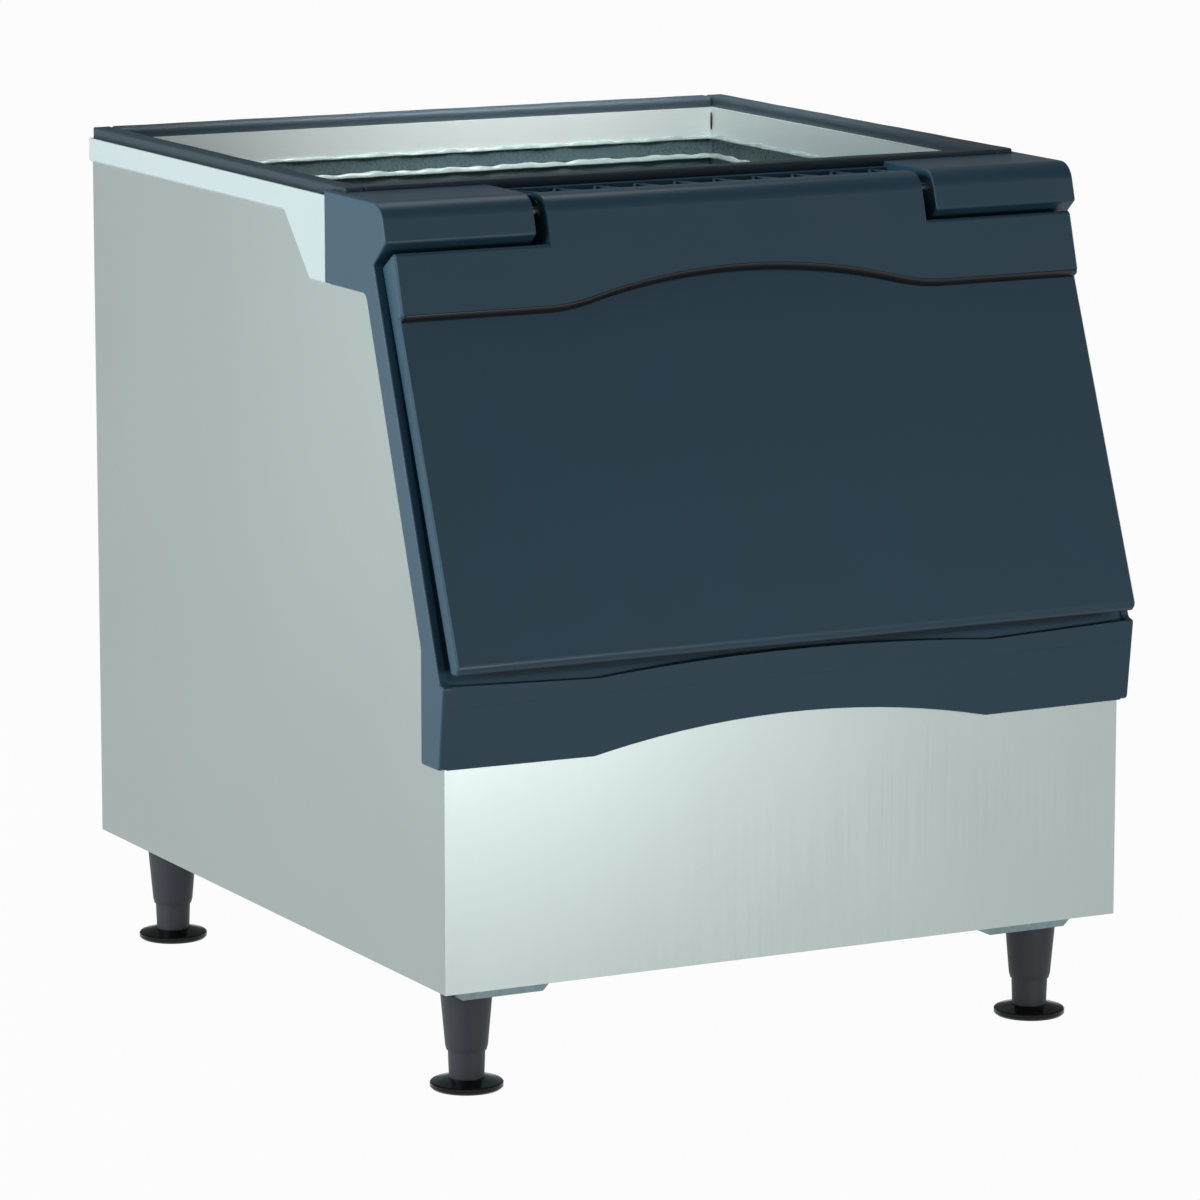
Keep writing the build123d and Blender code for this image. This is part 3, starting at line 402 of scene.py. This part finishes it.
def brushed_stainless(name, tint, grain, rough, contrast, metallic=1.0):
    """430 stainless, brushed: long faint streaks one way, and a broad blurred sheen that shifts slightly."""
    material, tree, shader, where = finish(name)
    # Brush marks of 0.2 mm are drawn about 1.5 mm wide, so that they show.
    lines = add(tree, "Mapping", {"Vector": where, "Scale": per_metre(*grain)}).outputs[0]
    streak = add(tree, "TexNoise", {"Vector": lines, "Scale": 1.0, "Detail": 2.0, "Roughness": 0.6}).outputs[0]
    # Rolled sheet is a little uneven over a hand's width.
    broad = add(tree, "TexNoise", {"Vector": where, "Scale": 5.0, "Detail": 1.0}).outputs[0]
    both = add(tree, "Mix", {0: 0.35, 2: streak, 3: broad}, data_type="FLOAT").outputs[0]
    shine = add(tree, "MapRange", {"Value": both, "From Min": 0.3, "From Max": 0.7,
                                   "To Min": rough - 0.05, "To Max": rough + 0.05}).outputs[0]
    relief = add(tree, "Bump", {"Strength": 0.12, "Distance": 0.00012, "Height": streak}).outputs[0]
    drive(tree, shader, shades(tree, both, tint, 1 - contrast, 1 + contrast), shine, relief)
    shader.inputs["Metallic"].default_value = metallic
    return material


def galvanised_steel(name, tint):
    """Hot-dip galvanised sheet: flat grey spangle of 6 mm crystals, each of its own dullness."""
    material, tree, shader, where = finish(name)
    cells = add(tree, "TexVoronoi", {"Vector": where, "Scale": 1000 / 6.0}).outputs["Color"]
    grey = add(tree, "SeparateColor", {0: cells}).outputs[0]
    shine = add(tree, "MapRange", {"Value": grey, "To Min": 0.32, "To Max": 0.55}).outputs[0]
    tree.links.new(shades(tree, grey, tint, 0.86, 1.1), shader.inputs["Base Color"])
    tree.links.new(shine, shader.inputs["Roughness"])
    shader.inputs["Metallic"].default_value = 0.85
    return material


def moulded_plastic(name, tint, rough, grit, relief, contrast=0.06, specular=0.5):
    """Injection-moulded ABS or nylon from a fine-blasted tool: an even satin grain with soft highlights."""
    material, tree, shader, where = finish(name)
    # Spark grain of 0.1 mm is drawn as coarse as grit says, so that it breaks up the highlights.
    grain = add(tree, "TexNoise", {"Vector": where, "Scale": 1000 / grit, "Detail": 2.0}).outputs[0]
    flow = add(tree, "TexNoise", {"Vector": where, "Scale": 9.0, "Detail": 2.0}).outputs[0]
    both = add(tree, "Mix", {0: 0.5, 2: grain, 3: flow}, data_type="FLOAT").outputs[0]
    shine = add(tree, "MapRange", {"Value": both, "From Min": 0.35, "From Max": 0.65,
                                   "To Min": rough - 0.04, "To Max": rough + 0.04}).outputs[0]
    bump = add(tree, "Bump", {"Strength": relief, "Distance": 0.0001, "Height": grain}).outputs[0]
    drive(tree, shader, shades(tree, both, tint, 1 - contrast, 1 + contrast), shine, bump)
    shader.inputs["Specular IOR Level"].default_value = specular
    return material


def powder_paint(name, tint):
    """White polyester powder coat on steel: semi-gloss with a slight orange peel 2.5 mm across."""
    material, tree, shader, where = finish(name)
    peel = add(tree, "TexNoise", {"Vector": where, "Scale": 1000 / 2.5, "Detail": 1.0}).outputs[0]
    broad = add(tree, "TexNoise", {"Vector": where, "Scale": 6.0, "Detail": 1.0}).outputs[0]
    bump = add(tree, "Bump", {"Strength": 0.15, "Distance": 0.0001, "Height": peel}).outputs[0]
    shine = add(tree, "MapRange", {"Value": peel, "To Min": 0.3, "To Max": 0.4}).outputs[0]
    drive(tree, shader, shades(tree, broad, tint, 0.97, 1.02), shine, bump)
    return material


def foam_rubber(name, tint):
    """Extruded closed-cell nitrile foam: a dull skin with pin pores and faint drag lines from the die."""
    material, tree, shader, where = finish(name)
    # Pores of 0.2 mm are drawn 1 mm apart, so that they show.
    pores = add(tree, "TexVoronoi", {"Vector": where, "Scale": 1000 / 1.0}).outputs["Distance"]
    skin = add(tree, "TexNoise", {"Vector": where, "Scale": 60.0, "Detail": 3.0}).outputs[0]
    both = add(tree, "Mix", {0: 0.5, 2: pores, 3: skin}, data_type="FLOAT").outputs[0]
    bump = add(tree, "Bump", {"Strength": 0.3, "Distance": 0.0002, "Height": pores}).outputs[0]
    shine = add(tree, "MapRange", {"Value": skin, "To Min": 0.5, "To Max": 0.68}).outputs[0]
    drive(tree, shader, shades(tree, both, tint, 0.85, 1.2), shine, bump)
    return material


def clear_sealant(name, tint):
    """Cured silicone: a wet-looking, milky bead with small ripples from the nozzle."""
    material, tree, shader, where = finish(name)
    ripple = add(tree, "TexNoise", {"Vector": where, "Scale": 1000 / 9.0, "Detail": 2.0}).outputs[0]
    bump = add(tree, "Bump", {"Strength": 0.5, "Distance": 0.0008, "Height": ripple}).outputs[0]
    tree.links.new(shades(tree, ripple, tint, 0.8, 1.2), shader.inputs["Base Color"])
    tree.links.new(bump, shader.inputs["Normal"])
    shader.inputs["Roughness"].default_value = 0.18
    shader.inputs["Transmission Weight"].default_value = 0.35
    return material


def rigid_foam(name, tint):
    """Foamed-in-place polyurethane: a dry, chalky skin of 1.5 mm cells that yellows in patches."""
    material, tree, shader, where = finish(name)
    cells = add(tree, "TexVoronoi", {"Vector": where, "Scale": 1000 / 1.5}).outputs["Distance"]
    patch = add(tree, "TexNoise", {"Vector": where, "Scale": 12.0, "Detail": 3.0}).outputs[0]
    both = add(tree, "Mix", {0: 0.5, 2: cells, 3: patch}, data_type="FLOAT").outputs[0]
    bump = add(tree, "Bump", {"Strength": 0.5, "Distance": 0.0004, "Height": cells}).outputs[0]
    tree.links.new(shades(tree, both, tint, 0.85, 1.1), shader.inputs["Base Color"])
    tree.links.new(bump, shader.inputs["Normal"])
    shader.inputs["Roughness"].default_value = 0.9
    return material


def zinc_steel(name, tint):
    """Bright zinc-plated steel screw stock: a sharp sheen, dulled in fine patches."""
    material, tree, shader, where = finish(name)
    patch = add(tree, "TexNoise", {"Vector": where, "Scale": 1000 / 3.0, "Detail": 3.0}).outputs[0]
    shine = add(tree, "MapRange", {"Value": patch, "To Min": 0.16, "To Max": 0.36}).outputs[0]
    tree.links.new(shades(tree, patch, tint, 0.9, 1.08), shader.inputs["Base Color"])
    tree.links.new(shine, shader.inputs["Roughness"])
    shader.inputs["Metallic"].default_value = 1.0
    return material


class ICEBIN_OT_sheet_metal(bpy.types.Operator):
    """Finish the steel sheets of the cabinet, the neck, the baffle, the base and the brackets"""
    bl_idname = "icebin.sheet_metal"
    bl_label = "Sheet Metal"

    def execute(self, context):
        tint = context.scene.icebin_colours
        upright = brushed_stainless("brushed_stainless_upright", tint.stainless, (1.5, 1.5, 160), 0.36, 0.02)
        dress(upright, "side_panel_left", "side_panel_right", "front_panel", "back_panel")
        level = brushed_stainless("brushed_stainless_level", tint.bright, (160, 160, 1.5), 0.42, 0.03, 0.4)
        dress(level, "top_collar", "ice_baffle")
        dress(galvanised_steel("galvanised_spangle", tint.galvanised), "base_pan",
              *("leg_bracket_" + tag for tag in CORNERS))
        dress(powder_paint("white_powder_coat", tint.band), "band_left", "band_right", "band_back")
        zinc = zinc_steel("bright_zinc", linear("c4c6c8"))
        dress(zinc, "hinge_pin_left", "hinge_pin_right", *("leg_stud_" + tag for tag in CORNERS))
        return {"FINISHED"}


class ICEBIN_OT_mouldings(bpy.types.Operator):
    """Finish the plastic mouldings, the liner, the legs, the feet and the foam cores"""
    bl_idname = "icebin.mouldings"
    bl_label = "Mouldings"

    def execute(self, context):
        tint = context.scene.icebin_colours
        slate = moulded_plastic("slate_moulded_plastic", tint.slate, 0.34, 0.9, 0.1, specular=0.35)
        dress(slate, "front_frame", "door_shell")
        dress(moulded_plastic("thermoformed_liner", tint.liner, 0.36, 3.0, 0.03, 0.03), "liner", "door_liner")
        leg = moulded_plastic("satin_leg_nylon", tint.leg, 0.48, 0.8, 0.2, 0.1)
        dress(leg, *("leg_" + tag for tag in CORNERS), *("foot_stem_" + tag for tag in CORNERS))
        dress(moulded_plastic("glossy_foot_nylon", tint.foot, 0.16, 2.0, 0.04, 0.2, 0.3),
              *("foot_disc_" + tag for tag in CORNERS))
        dress(moulded_plastic("white_drain_plastic", tint.drain, 0.4, 1.2, 0.12, 0.03),
              "drain_fitting", "drain_locknut")
        dress(moulded_plastic("black_bush_nylon", linear("141616"), 0.4, 0.8, 0.12, 0.1),
              "hinge_bush_left", "hinge_bush_right")
        dress(foam_rubber("door_seal_rubber", linear("20262b")), "door_seal")
        dress(rigid_foam("rigid_foam_core", tint.core), "insulation", "door_insulation")
        return {"FINISHED"}


class ICEBIN_OT_gasket(bpy.types.Operator):
    """Lay the four foam strips on the flange round the top opening"""
    bl_idname = "icebin.gasket"
    bl_label = "Gasket"

    def execute(self, context):
        scene = context.scene
        rubber = foam_rubber("gasket_foam_rubber", scene.icebin_colours.foam_rubber)
        for side, along, inner in (("left", 1, 1), ("right", 1, -1), ("front", 0, 1), ("back", 0, -1)):
            low, high = (np.array(corner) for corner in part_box("gasket_" + side))
            grid = foam_strip(low, high, along, inner, scene.icebin_sizes)
            piece = surface("gasket_strip_" + side, grid[None])
            fit(piece, rubber, stands_for=["gasket_" + side])
        return {"FINISHED"}


class ICEBIN_OT_wave_bead(bpy.types.Operator):
    """Run the dark bead of painted shadow along the waved edge of the door's head"""
    bl_idname = "icebin.wave_bead"
    bl_label = "Wave Bead"

    def execute(self, context):
        sizes = context.scene.icebin_sizes
        low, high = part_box("door_shell")
        # Near-black colour painted as the shadow on the step under the head's waved edge; it is no real bead.
        black = moulded_plastic("painted_shadow_black", linear("05090c"), 0.3, 0.8, 0.02, 0.1)
        bead = wave_bead((high[0] - low[0]) / 2 - BEAD_SIDE_GAP, sizes.wave_low, sizes)
        fit(surface("wave_edge_painted_shadow", bead[None]), black, body="door")
        return {"FINISHED"}


class ICEBIN_OT_neck_rim(bpy.types.Operator):
    """Lap the liner's rim up the neck, and run the beads of sealant under it and along its top"""
    bl_idname = "icebin.neck_rim"
    bl_label = "Neck Rim"

    def execute(self, context):
        sizes, tint = context.scene.icebin_sizes, context.scene.icebin_colours
        low, high = (np.array(corner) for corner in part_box("sealant_bead"))
        path = neck_path(low, high)
        clear = clear_sealant("clear_silicone", tint.sealant)
        under = wandering_bead(path, low[2], sizes.bead_width, sizes.bead_height, sizes.bead_wave)
        fit(surface("neck_sealant_bead", under[None], True), clear, stands_for=["sealant_bead"])
        top = low[2] + sizes.rim_height
        rim = lapped_rim(path, low[2] + sizes.bead_height * 0.6, top, RIM_THICK)
        plastic = moulded_plastic("lapped_liner_rim", tint.liner, 0.28, 3.0, 0.03, 0.03)
        fit(surface("liner_rim", rim[None], True), plastic)
        over = wandering_bead(path, top - RIM_THICK, RIM_BEAD_WIDTH, RIM_BEAD_HEIGHT, RIM_BEAD_WAVE)
        fit(surface("rim_sealant_bead", over[None], True), clear)

        # The neck's folded corners don't quite close: a dark sliver of painted shade stands for the shadow in
        # the slit above the sealant.
        slit = turned(SLIT_PROFILE, 12)
        corners = [(x, y, top + SLIT_UP) for x in (low[0] + SLIT_INSET, high[0] - SLIT_INSET)
                   for y in (low[1] + SLIT_INSET, high[1] - SLIT_INSET)]
        # Near-black colour painted as the shade inside each corner slit.
        shade = moulded_plastic("corner_slit_painted_shade", linear("0a0c0d"), 0.7, 0.8, 0.1, 0.1)
        fit(surface("neck_corner_slit_shades", facing(slit, "+z", corners)), shade)
        return {"FINISHED"}


class ICEBIN_OT_fasteners(bpy.types.Operator):
    """Set the baffle's thumbscrews, the back panel's screws and the brackets' bolts"""
    bl_idname = "icebin.fasteners"
    bl_label = "Fasteners"

    def execute(self, context):
        sizes = context.scene.icebin_sizes
        zinc = zinc_steel("bright_zinc_screws", linear("c4c6c8"))
        low, high = (np.array(corner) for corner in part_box("baffle_thumbscrews"))
        grip = (high[2] - low[2]) / 2
        knob = thumb_knob(grip, high[1] - low[1], sizes.knurl_depth)
        height = (low[2] + high[2]) / 2
        inset = high[0] - grip
        knobs = surface("baffle_knobs", facing(knob, "+y", [(s * inset, low[1], height) for s in (-1, 1)]))
        fit(knobs, zinc, stands_for=["baffle_thumbscrews"])

        left, right = BACK[0][0] + SCREW_INSET, BACK[1][0] - SCREW_INSET
        levels = np.linspace(BACK[0][2] + 0.035, BACK[1][2] - 0.05, 6)
        spots = [(x, BACK[1][1], z) for x in (left, right) for z in levels]
        spots += [(x, BACK[1][1], BACK[0][2] + 0.012) for x in np.linspace(left + 0.09, right - 0.09, 5)]
        screw = screw_head(sizes.head_radius, sizes.head_height)
        heads = surface("back_panel_screws", facing(screw, "+y", spots))
        fit(heads, zinc)

        spots = []
        for tag in CORNERS:
            near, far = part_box("leg_bracket_" + tag)
            spots += [(x, y, far[2] - 0.002) for x in (near[0] + BOLT_INSET[0], far[0] - BOLT_INSET[0])
                      for y in (near[1] + BOLT_INSET[1], far[1] - BOLT_INSET[1])]
        bolts = surface("bracket_bolts", facing(screw_head(sizes.bolt_radius, BOLT_HEIGHT), "-z", spots))
        fit(bolts, zinc)
        return {"FINISHED"}


class ICEBIN_OT_drain_thread(bpy.types.Operator):
    """Lay the pipe thread's ridge in the drain's bore"""
    bl_idname = "icebin.drain_thread"
    bl_label = "Drain Thread"

    def execute(self, context):
        scene = context.scene
        low, high = (np.array(corner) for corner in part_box("drain_fitting"))
        centre = (low + high) / 2
        grid = pipe_thread(DRAIN_BORE_R, scene.icebin_sizes.thread_depth, scene.icebin_sizes.thread_pitch,
                           high[1] - THREAD_START, high[1] - THREAD_END, centre)
        white = moulded_plastic("white_thread_plastic", scene.icebin_colours.drain, 0.4, 1.2, 0.12, 0.03)
        fit(surface("drain_pipe_thread", grid[None]), white)
        return {"FINISHED"}


# Stage

def lamp(name, place, aim, width, height, power, spread=180, tint=(1, 1, 1)):
    """Soft rectangular lamp of one tint that faces a point and lights a cone of that many degrees."""
    light = bpy.data.lights.new(name, "AREA")
    light.shape = "RECTANGLE"
    light.size, light.size_y, light.energy = width, height, power
    light.spread, light.color = math.radians(spread), tint
    holder = bpy.data.objects.new(name, light)
    holder.location = place
    holder.visible_camera = False
    holder.rotation_euler = (Vector(aim) - Vector(place)).to_track_quat("-Z", "Y").to_euler()
    bpy.context.scene.collection.objects.link(holder)


class ICEBIN_OT_stage(bpy.types.Operator):
    """Lay the pale floor and set the soft lamps, the room's light and the camera"""
    bl_idname = "icebin.stage"
    bl_label = "Stage"

    def execute(self, context):
        scene = context.scene
        reach = np.linspace(-30, 30, 13)
        x, y = np.meshgrid(reach, reach, indexing="ij")
        points = np.stack([x, y, np.zeros_like(x)], axis=-1).reshape(-1, 3)
        index = np.arange(len(points)).reshape(len(reach), -1)
        quads = np.stack([index[:-1, :-1], index[1:, :-1], index[1:, 1:], index[:-1, 1:]], axis=-1)
        mesh = bpy.data.meshes.new("floor")
        mesh.from_pydata(points, [], quads.reshape(-1, 4))
        floor = bpy.data.objects.new("floor", mesh)
        scene.collection.objects.link(floor)

        material = bpy.data.materials.new("pale_matte_floor")
        material.use_nodes = True
        tree = material.node_tree
        tree.nodes.clear()
        # Where it is seen the floor is nearly plain white, so that it meets the background, and where it is
        # mirrored mostly so. What is left is a matte grey that throws little light up under the bin.
        matte = add(tree, "BsdfDiffuse", {"Color": linear("7c8080")}).outputs[0]
        plain = add(tree, "Emission", {"Color": (1, 1, 1, 1), "Strength": 1.0}).outputs[0]
        path = add(tree, "LightPath").outputs
        mirrored = add(tree, "Math", {0: path["Is Glossy Ray"], 1: path["Is Transmission Ray"]},
                       operation="MAXIMUM").outputs[0]
        mirrored = add(tree, "Math", {0: mirrored, 1: 0.72}, operation="MULTIPLY").outputs[0]
        part = add(tree, "Math", {0: path["Is Camera Ray"], 1: 0.975, 2: mirrored},
                   operation="MULTIPLY_ADD").outputs[0]
        blend = add(tree, "MixShader", {0: part, 1: matte, 2: plain}).outputs[0]
        add(tree, "OutputMaterial", {"Surface": blend})
        mesh.materials.append(material)

        world = bpy.data.worlds.new("studio")
        scene.world = world
        world.use_nodes = True
        tree = world.node_tree
        tree.nodes.clear()
        # The background is plain white where it is seen or mirrored. The room lights the bin at a sixth of
        # that, and its ceiling is darker than its walls, the more so towards the back.
        path = add(tree, "LightPath").outputs
        way = add(tree, "TexCoord").outputs["Generated"]
        way = add(tree, "SeparateXYZ", {0: way}).outputs
        up = add(tree, "Math", {0: way["Y"], 1: 0.3, 2: way["Z"]}, operation="MULTIPLY_ADD").outputs[0]
        ceiling = add(tree, "MapRange", {"Value": up, "From Min": 0.15, "From Max": 0.4, "To Min": 1.0,
                                         "To Max": 0.14}, interpolation_type="SMOOTHSTEP").outputs[0]
        mirrored = add(tree, "Math", {0: path["Is Glossy Ray"], 1: path["Is Transmission Ray"]},
                       operation="MAXIMUM").outputs[0]
        level = add(tree, "Math", {0: mirrored, 1: 0.82, 2: 0.16}, operation="MULTIPLY_ADD").outputs[0]
        level = add(tree, "Math", {0: level, 1: ceiling}, operation="MULTIPLY").outputs[0]
        level = add(tree, "Math", {0: level, 1: path["Is Camera Ray"]}, operation="MAXIMUM").outputs[0]
        room = add(tree, "Background", {"Color": (1, 1, 1, 1), "Strength": level}).outputs[0]
        add(tree, "OutputWorld", {"Surface": room})

        lamp("left_softbox", (-3.3, -0.1, 1.3), (0, -0.1, 0.5), 2.0, 2.0, 76, tint=(0.86, 0.97, 1))
        lamp("back_left_softbox", (-2.05, 1.45, 0.6), (-0.3, -0.2, 0.5), 0.8, 1.0, 2.7, tint=(0.9, 0.98, 1))
        lamp("front_softbox", (0.4, -2.4, 0.3), (-0.2, -0.4, 0.25), 0.5, 0.5, 7.5)
        lamp("top_softbox", (0.15, 0.5, 2.5), (0, 0.2, 0.8), 1.4, 1.2, 9)
        lamp("opening_softbox", (0.15, 0.02, 1.5), (0.1, 0.36, 0.82), 0.5, 0.4, 2.2, 60)

        camera = bpy.data.cameras.new("photo_camera")
        camera.lens, camera.sensor_width = 189.04, 36
        camera.clip_end = 100
        holder = bpy.data.objects.new("photo_camera", camera)
        holder.location = (-2.9901, -5.7531, 1.5901)
        holder.rotation_euler = (math.radians(79.652), 0, math.radians(-27.470))
        scene.collection.objects.link(holder)
        scene.camera = holder
        scene.view_settings.view_transform = "Standard"
        return {"FINISHED"}


class ICEBIN_PT_panel(bpy.types.Panel):
    """Sizes, colours and pieces of the ice storage bin"""
    bl_label = "Ice Storage Bin"
    bl_idname = "ICEBIN_PT_panel"
    bl_space_type = "VIEW_3D"
    bl_region_type = "UI"
    bl_category = "Ice Bin"

    def draw(self, context):
        layout = self.layout
        for group in (context.scene.icebin_sizes, context.scene.icebin_colours):
            column = layout.column()
            for name in group.__annotations__:
                column.prop(group, name)
        for operator in OPERATORS:
            layout.operator(operator.bl_idname)


OPERATORS = (ICEBIN_OT_sheet_metal, ICEBIN_OT_mouldings, ICEBIN_OT_gasket, ICEBIN_OT_wave_bead,
             ICEBIN_OT_neck_rim, ICEBIN_OT_fasteners, ICEBIN_OT_drain_thread, ICEBIN_OT_stage)
CLASSES = (IceBinSizes, IceBinColours, *OPERATORS, ICEBIN_PT_panel)


def register():
    for cls in CLASSES:
        bpy.utils.register_class(cls)
    bpy.types.Scene.icebin_sizes = PointerProperty(type=IceBinSizes)
    bpy.types.Scene.icebin_colours = PointerProperty(type=IceBinColours)


def unregister():
    del bpy.types.Scene.icebin_colours
    del bpy.types.Scene.icebin_sizes
    for cls in reversed(CLASSES):
        bpy.utils.unregister_class(cls)


def main():
    register()
    bpy.ops.icebin.sheet_metal()
    bpy.ops.icebin.mouldings()
    bpy.ops.icebin.gasket()
    bpy.ops.icebin.wave_bead()
    bpy.ops.icebin.neck_rim()
    bpy.ops.icebin.fasteners()
    bpy.ops.icebin.drain_thread()
    bpy.ops.icebin.stage()


if __name__ == "__main__":
    main()
